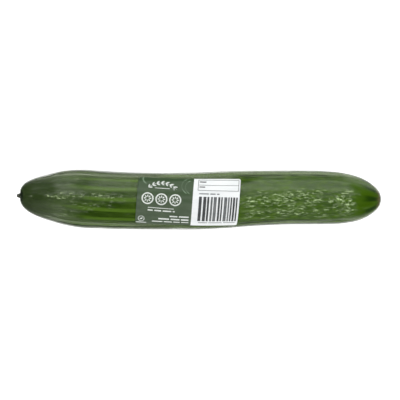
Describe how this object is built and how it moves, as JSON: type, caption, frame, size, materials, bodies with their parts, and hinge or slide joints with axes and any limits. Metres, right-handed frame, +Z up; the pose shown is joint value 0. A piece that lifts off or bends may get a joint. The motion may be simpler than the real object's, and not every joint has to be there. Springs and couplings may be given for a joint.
{
  "type": "cucumber",
  "caption": "Long, slightly bent salad cucumber with shallow ribs and a stem stub, shrunk into clear film, with a curved label on top.",
  "frame": {"origin": "under the middle of the whole form, on the surface it lies on", "axes": "+X along the fruit from the stem end to the blossom end, +Z up through the middle of the label, +Y sideways"},
  "size_m": [0.301, 0.0492, 0.0468],
  "materials": {
    "cucumber_skin": "waxy dark green skin with lighter lengthwise stripes, satin",
    "clear_film": "clear glossy film with fine lengthwise wrinkles",
    "printed_label": "printed film label, satin, one half dark green and one half white"
  },
  "bodies": {
    "root": {"cucumber": "cucumber_skin", "shrink_film": "clear_film", "label": "printed_label"}
  },
  "joints": []
}
